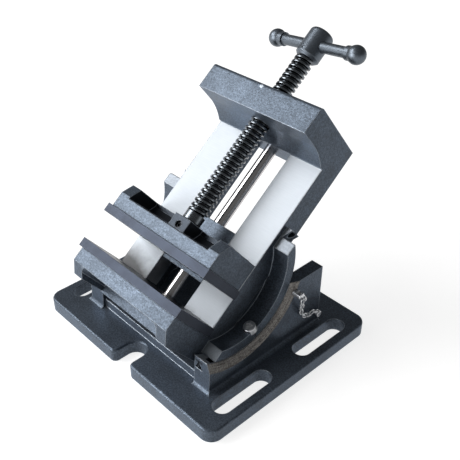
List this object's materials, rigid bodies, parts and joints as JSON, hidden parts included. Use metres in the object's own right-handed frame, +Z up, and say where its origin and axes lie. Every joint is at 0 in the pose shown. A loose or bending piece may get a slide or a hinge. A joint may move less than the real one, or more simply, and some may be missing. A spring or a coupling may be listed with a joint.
{
  "type": "tilting vise",
  "caption": "Machine vise that tilts on curved rims in a slotted base, with ground jaw plates, a lead screw with a tommy bar, a guide rod and a chained zero pin.",
  "frame": {"origin": "middle of the base's underside", "axes": "+X along the jaws to the right, +Y from the fixed jaw to the handle end, +Z up"},
  "size_m": [0.181, 0.1927, 0.1967],
  "materials": {
    "casting": "hammered grey paint over cast iron, with ground rails",
    "ground_plate": "ground hardened steel",
    "black_fastener": "black oxide",
    "bright_fastener": "zinc plated",
    "rod_chrome": "polished",
    "screw_black": "black oxide, oiled",
    "handle": "satin gunmetal"
  },
  "bodies": {
    "base": {"base_casting": "casting", "pin_chain": "bright_fastener", "chain_anchor_screw": "bright_fastener"},
    "zero_pin": {"zero_pin": "bright_fastener", "pin_ring": "bright_fastener"},
    "vise": {"vise_body": "casting", "fixed_jaw_plate": "ground_plate", "fixed_plate_screws": "black_fastener", "guide_rod": "rod_chrome", "guide_rod_pin": "black_fastener", "left_clamp_nut": "bright_fastener", "right_clamp_nut": "bright_fastener"},
    "jaw": {"moving_jaw": "casting", "moving_jaw_plate": "ground_plate", "moving_plate_screws": "black_fastener", "keeper_plate": "ground_plate", "keeper_screws": "black_fastener", "screw_retainer": "black_fastener"},
    "screw": {"lead_screw": "screw_black", "handle_hub": "handle", "hub_pin": "handle"},
    "bar": {"tommy_bar": "handle", "left_bar_ball": "handle", "right_bar_ball": "handle"},
    "left_lock": {"left_lock_screw": "bright_fastener"},
    "right_lock": {"right_lock_screw": "bright_fastener"}
  },
  "joints": [
    {"name": "tilt", "type": "hinge", "parent": "base", "child": "vise", "pos_m": [0, -0.0265, 0.078], "axis": [1, 0, 0], "range_deg": [-39, 21]},
    {"name": "jaw_slide", "type": "slide", "parent": "vise", "child": "jaw", "axis": [0, 0.7771, 0.6293], "range_m": [-0.0222, 0.062]},
    {"name": "screw_turn", "type": "hinge", "parent": "jaw", "child": "screw", "pos_m": [0, 0.00389, 0.10403], "axis": [0, 0.7771, 0.6293], "range_deg": [-2200, 6100]},
    {"name": "bar_slide", "type": "slide", "parent": "screw", "child": "bar", "axis": [0.9816, -0.1201, 0.1483], "range_m": [-0.021, 0.021]},
    {"name": "pin_push", "type": "slide", "parent": "base", "child": "zero_pin", "axis": [-1, 0, 0], "range_m": [0, 0.0029], "deforming": ["pin_chain"]},
    {"name": "left_lock_turn", "type": "hinge", "parent": "vise", "child": "left_lock", "pos_m": [-0.0583, -0.01087, 0.03261], "axis": [0, -0.3256, 0.9455], "range_deg": [0, 360]},
    {"name": "right_lock_turn", "type": "hinge", "parent": "vise", "child": "right_lock", "pos_m": [0.0583, -0.01087, 0.03261], "axis": [0, -0.3256, 0.9455], "range_deg": [0, 360]}
  ],
  "couplings": [
    {"joint": "screw_turn", "follows": "jaw_slide", "rad_per_m": 1698.2}
  ]
}
